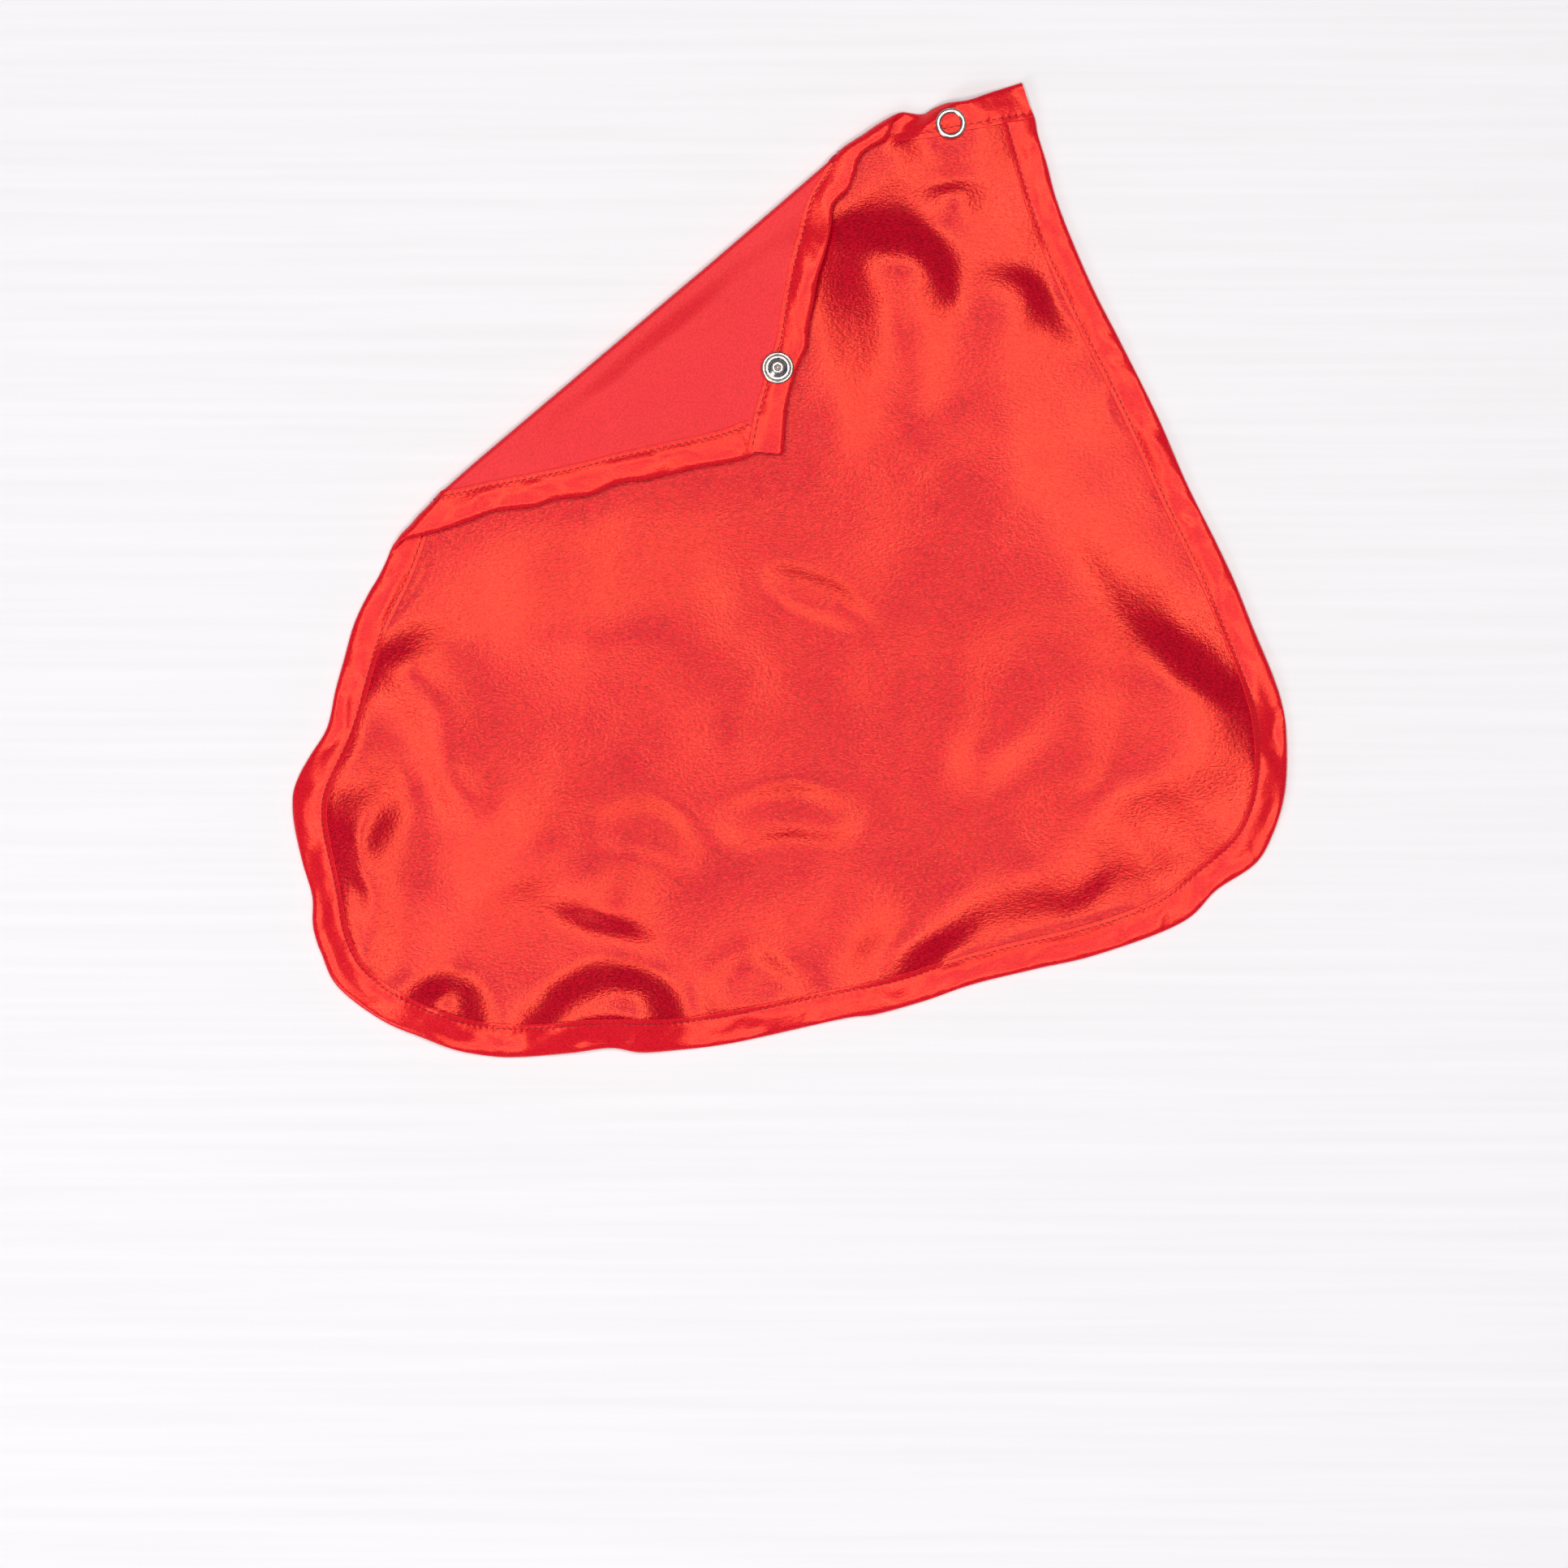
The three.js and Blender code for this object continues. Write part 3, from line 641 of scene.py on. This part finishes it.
def stitch_piece(name, strip, first, last, material, seed, side):
    """A row of lockstitches along a strip, lying in the tape's face."""
    pitch = STATIONS_PER_STITCH
    centres = np.arange(math.ceil(first / pitch) * pitch + pitch, last - 3, pitch) + pitch / 2
    steps = np.linspace(-0.5, 0.5, 7)
    reach = STITCH_LENGTH / STATION * steps
    station = centres[:, None] + reach[None, :]
    width = strip.width[np.clip(station, 0, strip.count - 1).astype(int)]
    depth = width - SEAM_INSET
    surface = tape_half(strip, station, depth, seed) + 0.10
    dip = 0.16 * (2 * np.abs(steps)) ** 4
    off = side * (surface - dip)
    path = lay(strip.at(station, depth).reshape(-1, 2), off.ravel()).reshape(*station.shape, 3)
    tangent = np.gradient(path, axis=1)
    tangent /= np.linalg.norm(tangent, axis=2)[..., None]
    across = np.cross(tangent, [0.0, 0.0, 1.0])
    across /= np.linalg.norm(across, axis=2)[..., None]
    up = np.cross(across, tangent)
    radius = THREAD_RADIUS * np.sqrt(np.clip(1 - (2 * steps) ** 6, 0.02, 1))
    sides = 8
    turn = np.arange(sides) * 2 * math.pi / sides
    ring = (across[:, :, None, :] * np.cos(turn)[:, None] + up[:, :, None, :] * np.sin(turn)[:, None])
    verts = (path[:, :, None, :] + ring * radius[None, :, None, None]).reshape(-1, 3)
    faces = []
    block = np.arange(len(steps) * sides).reshape(len(steps), sides)
    nxt = np.roll(block, -1, axis=1)
    body = np.stack([block[:-1], nxt[:-1], nxt[1:], block[1:]], axis=2).reshape(-1, 4)
    for k in range(len(centres)):
        start = k * len(steps) * sides
        faces += (body + start).tolist()
        faces += [(block[0][::-1] + start).tolist(), (block[-1] + start).tolist()]
    return make_piece(name, verts, outward(verts, faces), [material])


def lathe(profile, segments):
    """A closed body turned about Z from a closed loop of (radius, height), in mm."""
    turn = np.arange(segments) * 2 * math.pi / segments
    profile = np.array(profile, float)
    verts = np.stack([
        profile[:, 0, None] * np.cos(turn),
        profile[:, 0, None] * np.sin(turn),
        np.repeat(profile[:, 1, None], segments, axis=1),
    ], axis=2)
    m = len(profile)
    grid = np.arange(m * segments).reshape(m, segments)
    nxt, up = np.roll(grid, -1, axis=1), np.roll(grid, -1, axis=0)
    faces = np.stack([grid, nxt, np.roll(up, -1, axis=1), up], axis=2).reshape(-1, 4)
    return verts.reshape(-1, 3), faces.tolist()


def arc(centre, radii, start, end, steps):
    turn = np.radians(np.linspace(start, end, steps))
    return [(centre[0] + radii[0] * math.cos(a), centre[1] + radii[1] * math.sin(a)) for a in turn]


def ring_profile(height):
    """Section of the ring cap: domed above, flat below."""
    mean, wide = 4.0, 0.8
    top = arc((mean, height * 0.45), (wide, height * 0.55), 0, 180, 17)
    return top + [(mean - wide, 0.12), (mean - wide + 0.12, 0), (mean + wide - 0.12, 0), (mean + wide, 0.12)]


def ring_cap(name, node, facing, material):
    """The snap's prong ring: a domed ring with five prongs that go through the band."""
    low, high = (np.array(corner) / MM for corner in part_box(node))
    centre = (low + high) / 2
    height, prongs, prong_radius = 1.15, 5, 3.95
    verts, faces = lathe(ring_profile(height), 80)
    faces = outward(verts, faces)
    verts, faces = [verts], list(faces)
    count = len(verts[0])
    drop = high[2] - low[2] - height
    for k in range(prongs):
        turn = 2 * math.pi * (k + 0.5) / prongs
        out = np.array([math.cos(turn), math.sin(turn)])
        side = np.array([-out[1], out[0]])
        block = []
        for z, wide in ((0.3, 0.45), (-drop, 0.22)):
            for a, b in ((-0.2, -1), (0.2, -1), (0.2, 1), (-0.2, 1)):
                block.append([*(out * (prong_radius + a) + side * wide * b), z])
        box = [[0, 3, 2, 1], [4, 5, 6, 7], [0, 1, 5, 4], [1, 2, 6, 5], [2, 3, 7, 6], [3, 0, 4, 7]]
        block = np.array(block)
        faces += [[count + q for q in face] for face in outward(block, box)]
        verts.append(block)
        count += len(block)
    verts = np.concatenate(verts)
    top = high[2] if facing > 0 else low[2]
    verts[:, 2] = top + facing * (verts[:, 2] - height)
    if facing < 0:
        faces = [face[::-1] for face in faces]
    verts[:, :2] += centre[:2]
    return make_piece(name, verts, faces, [material])


def stud(name, node, facing, material):
    """The snap's stud: a rolled rim, a groove, and a hollow post with a rounded lip."""
    low, high = (np.array(corner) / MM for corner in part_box(node))
    centre = (low + high) / 2
    height = high[2] - low[2]
    profile = [(0.0, -0.02), (4.5, -0.02)]
    profile += arc((4.5, 0.48), (0.55, 0.5), -90, 90, 11)
    profile += arc((4.5, 0.48), (0.6, 0.5), 100, 170, 5)
    profile += [(3.75, 0.38), (3.5, 0.36), (3.1, 0.42), (2.75, 0.58), (2.5, 0.85), (2.2, 1.05)]
    profile += [(1.8, 1.25), (1.72, 1.6), (1.74, height - 1.05)]
    profile += arc((1.5, height - 0.55), (0.42, 0.55), -30, 90, 9)
    profile += arc((1.2, height - 0.35), (0.35, 0.35), 90, 180, 5)[1:]
    profile += [(0.62, height - 0.75), (0.5, height - 1.0), (0.45, height - 1.7), (0.0, height - 1.75)]
    verts, faces = lathe(profile, 72)
    verts[:, 2] = (low[2] if facing > 0 else high[2]) + facing * (verts[:, 2] + 0.02)
    verts[:, :2] += centre[:2]
    return make_piece(name, verts, outward(verts, faces), [material])


# ---------------------------------------------------------------- materials

def new_material(name):
    material = bpy.data.materials.new(name)
    material.use_nodes = True
    nodes, links = material.node_tree.nodes, material.node_tree.links
    return material, nodes, links, nodes["Principled BSDF"]


def grain(nodes, links, scale, detail=2.0):
    """Noise over the object's own coordinates, stretched by scale, in waves per metre."""
    place = nodes.new("ShaderNodeTexCoord")
    mapping = nodes.new("ShaderNodeMapping")
    mapping.inputs["Scale"].default_value = scale
    texture = nodes.new("ShaderNodeTexNoise")
    texture.inputs["Scale"].default_value = 1.0
    texture.inputs["Detail"].default_value = detail
    links.new(place.outputs["Object"], mapping.inputs["Vector"])
    links.new(mapping.outputs["Vector"], texture.inputs["Vector"])
    return texture.outputs["Fac"]


def ramp(nodes, links, source, stops):
    node = nodes.new("ShaderNodeValToRGB")
    for k, (position, colour) in enumerate(stops):
        stop = node.color_ramp.elements[k] if k < 2 else node.color_ramp.elements.new(position)
        stop.position = position
        stop.color = (*colour, 1)
    links.new(source, node.inputs["Fac"])
    return node.outputs["Color"]


def remap(nodes, links, source, low, high):
    node = nodes.new("ShaderNodeMapRange")
    node.inputs["From Min"].default_value = 0.3
    node.inputs["From Max"].default_value = 0.7
    node.inputs["To Min"].default_value = low
    node.inputs["To Max"].default_value = high
    links.new(source, node.inputs["Value"])
    return node.outputs["Result"]


def bump(nodes, links, source, strength, distance, under=None):
    node = nodes.new("ShaderNodeBump")
    node.inputs["Strength"].default_value = strength
    node.inputs["Distance"].default_value = distance
    links.new(source, node.inputs["Height"])
    if under is not None:
        links.new(under, node.inputs["Normal"])
    return node.outputs["Normal"]


def satin(name, dark, light, roughness, ior, tint, fibre, strength, sheen=0.0):
    """Woven satin: fine floats colour it, a crepe grain and a broad mottle roughen its tinted gloss."""
    material, nodes, links, shader = new_material(name)
    fine = grain(nodes, links, fibre, 3.0)
    broad = grain(nodes, links, (60, 75, 60))
    crepe = grain(nodes, links, (900, 1300, 1300), 2.0)
    links.new(ramp(nodes, links, fine, [(0.38, dark), (0.62, light)]), shader.inputs["Base Color"])
    gloss = nodes.new("ShaderNodeMath")
    gloss.operation = "ADD"
    links.new(remap(nodes, links, broad, roughness[0] / 2, roughness[1] / 2), gloss.inputs[0])
    links.new(remap(nodes, links, crepe, roughness[0] / 2, roughness[1] / 2), gloss.inputs[1])
    links.new(gloss.outputs["Value"], shader.inputs["Roughness"])
    shader.inputs["IOR"].default_value = ior
    shader.inputs["Specular Tint"].default_value = (*tint, 1)
    shader.inputs["Sheen Weight"].default_value = sheen
    shader.inputs["Sheen Roughness"].default_value = 0.4
    shader.inputs["Sheen Tint"].default_value = (1.0, 0.45, 0.4, 1)
    cross = grain(nodes, links, (fibre[1] * 0.7, fibre[0] * 0.7, fibre[2]))
    normal = bump(nodes, links, crepe, strength, 0.0003)
    normal = bump(nodes, links, fine, strength, 0.0002, normal)
    normal = bump(nodes, links, cross, strength * 0.6, 0.0002, normal)
    links.new(normal, shader.inputs["Normal"])
    return material


def nickel():
    """Nickel-plated brass, lightly rubbed. Its dark olive colour is painted shade that stands for the dark
    surroundings the metal mirrors, and the mottle is rubbing.
    """
    material, nodes, links, shader = new_material("nickel")
    rub = grain(nodes, links, (900, 900, 900), 4.0)
    # Dark olive stops: painted shade of the dark surroundings mirrored in the metal, mottled by rubbing
    links.new(ramp(nodes, links, rub, [(0.3, (0.40, 0.37, 0.31)), (0.7, (0.62, 0.59, 0.53))]),
              shader.inputs["Base Color"])
    links.new(remap(nodes, links, rub, 0.16, 0.30), shader.inputs["Roughness"])
    shader.inputs["Metallic"].default_value = 1.0
    links.new(bump(nodes, links, rub, 0.08, 0.0001), shader.inputs["Normal"])
    return material


def thread_material():
    """Twisted polyester thread. Both its colours are darker than the cloth: painted shade that stands for
    the shadowed stitch holes, and the mottle between them is the thread's twist.
    """
    material, nodes, links, shader = new_material("thread")
    ply = grain(nodes, links, (2600, 2600, 2600))
    # Dark red stops: painted shade of the stitch holes, mottled by the thread's twist
    links.new(ramp(nodes, links, ply, [(0.3, (0.20, 0.003, 0.008)), (0.7, (0.42, 0.008, 0.014))]),
              shader.inputs["Base Color"])
    shader.inputs["Roughness"].default_value = 0.5
    links.new(bump(nodes, links, ply, 0.5, 0.0001), shader.inputs["Normal"])
    return material


def floor_material():
    """A pale, even floor with very faint streaks."""
    material, nodes, links, shader = new_material("floor")
    streaks = grain(nodes, links, (6, 260, 6), 4.0)
    links.new(ramp(nodes, links, streaks, [(0.3, (0.86, 0.855, 0.845)), (0.7, (0.90, 0.895, 0.89))]),
              shader.inputs["Base Color"])
    shader.inputs["Roughness"].default_value = 0.7
    return material


SATIN = satin("satin_face", (0.34, 0.0005, 0.011), (0.70, 0.003, 0.024), (0.14, 0.26), 2.35,
              (1.0, 0.13, 0.066), (900, 2600, 2600), 0.3)
SATIN_BACK = satin("satin_back", (0.66, 0.012, 0.022), (0.84, 0.020, 0.034), (0.36, 0.46), 1.75,
                   (1.0, 0.22, 0.18), (2400, 1400, 2400), 0.12, 0.2)
TAPE_SATIN = satin("satin_tape", (0.60, 0.005, 0.016), (0.86, 0.012, 0.028), (0.20, 0.30), 2.2,
                   (1.0, 0.14, 0.07), (1700, 2600, 2600), 0.2)
THREAD = thread_material()
NICKEL = nickel()


# ---------------------------------------------------------------- the pieces

panels = panel_pieces(SATIN, SATIN_BACK)

cloth = {piece.name: piece for piece in panels}
for title, strip, seed in (("binding", binding, 21), ("neck_band", band, 41)):
    strip.cut = int(cut_station(strip, TAPE_WIDTH / 2))
    seam_cut = cut_station(strip, strip.width[strip.cut] - SEAM_INSET)
    for part, low, high in (("", 0, strip.cut), ("_turned", strip.cut, strip.count - 1)):
        cloth[title + part] = tape_piece(title + part, strip, low, high, TAPE_SATIN, seed)
        for row, side, row_seed in (("top_stitches", 1, seed), ("bobbin_stitches", -1, seed + 7)):
            name = f"{title}_{row}{part}"
            ends = (0, seam_cut) if part == "" else (seam_cut, strip.count - 1)
            cloth[name] = stitch_piece(name, strip, *ends, THREAD, row_seed, side)

snaps = {
    "ring_cap": ring_cap("ring_cap", "ring_cap_main", 1, NICKEL),
    "stud": stud("stud", "stud_main", -1, NICKEL),
    "ring_cap_turned": ring_cap("ring_cap_turned", "ring_cap_corner", -1, NICKEL),
    "stud_turned": stud("stud_turned", "stud_corner", 1, NICKEL),
}

# ---------------------------------------------------------------- what moves, and what stands for what

NODES = {
    "panel": "panel", "binding": "binding", "neck_band": "neck_band",
    "binding_top_stitches": "binding_top_thread", "binding_bobbin_stitches": "binding_bobbin_thread",
    "neck_band_top_stitches": "band_top_thread", "neck_band_bobbin_stitches": "band_bobbin_thread",
}
for name, node in NODES.items():
    main = cloth[name]
    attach(main, "cape")
    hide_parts(f"{node}_main")
    turned = cloth[f"{name}_turned"]
    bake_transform(turned)
    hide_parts(f"{node}_corner")
for name, node, body in (
    ("ring_cap", "ring_cap_main", "cape"), ("stud", "stud_main", "cape"),
    ("ring_cap_turned", "ring_cap_corner", "corner"), ("stud_turned", "stud_corner", "corner"),
):
    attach(snaps[name], body)
    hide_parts(node)


for suffix, sign in (("", 1), ("_turned", -1)):
    trims = [cloth[key + suffix] for key in NODES if key != "panel"]
    trims += [snaps[key + suffix] for key in ("ring_cap", "stud")]

# ---------------------------------------------------------------- stage, lights and camera

bpy.ops.mesh.primitive_plane_add(size=5, location=(0, 0, 0))
floor = bpy.context.object
floor.name = "floor"
floor.data.materials.append(floor_material())

scene = bpy.context.scene
scene.view_settings.view_transform = "Standard"

# The floor that the photograph's frame covers, in metres, and the lens's sensor in millimetres
FRAME_WIDTH = 0.4954
FRAME_CENTRE = (-0.0019, -0.0672)
CAMERA_HEIGHT = 2.4
SENSOR = 36
camera = bpy.data.objects.new("camera", bpy.data.cameras.new("camera"))
camera.location = (*FRAME_CENTRE, CAMERA_HEIGHT)
camera.data.sensor_width = SENSOR
camera.data.lens = SENSOR * CAMERA_HEIGHT / FRAME_WIDTH
scene.collection.objects.link(camera)
scene.camera = camera


def softbox(name, azimuth, polar, distance, size, power, colour):
    """A soft light that faces the cape. Azimuth is from +X, polar from straight above."""
    a, p = math.radians(azimuth), math.radians(polar)
    light = bpy.data.lights.new(name, "AREA")
    light.shape = "RECTANGLE"
    light.size, light.size_y = size
    light.energy = power
    light.color = colour
    lamp = bpy.data.objects.new(name, light)
    place = np.array([math.sin(p) * math.cos(a), math.sin(p) * math.sin(a), math.cos(p)]) * distance
    lamp.location = place
    lamp.rotation_euler = (0, p, a)
    scene.collection.objects.link(lamp)


# Cloth that lies flat mirrors the world above the camera, and cloth that leans a little mirrors these
for k in range(4):
    softbox(f"ring_{k}", 45 + 90 * k, 18.5, 3.0, (0.46, 1.4), 19.5, (1.0, 0.95, 0.82))
softbox("key", 228, 62, 2.4, (0.8, 0.8), 15, (0.9, 0.95, 1.0))


def studio_world():
    """Pale at the horizon, dim above it, and bright and cool straight up."""
    dim, overhead = (0.09, 0.11, 0.18), (1.3, 1.2, 2.6)
    world = bpy.data.worlds.new("studio")
    scene.world = world
    world.use_nodes = True
    nodes, links = world.node_tree.nodes, world.node_tree.links
    place = nodes.new("ShaderNodeTexCoord")
    split = nodes.new("ShaderNodeSeparateXYZ")
    links.new(place.outputs["Generated"], split.inputs["Vector"])
    colour = ramp(nodes, links, split.outputs["Z"], [
        (0.0, (0.82, 0.82, 0.84)), (0.22, dim), (0.965, dim), (0.99, overhead), (1.0, overhead),
    ])
    links.new(colour, nodes["Background"].inputs["Color"])
    nodes["Background"].inputs["Strength"].default_value = 1.0


studio_world()
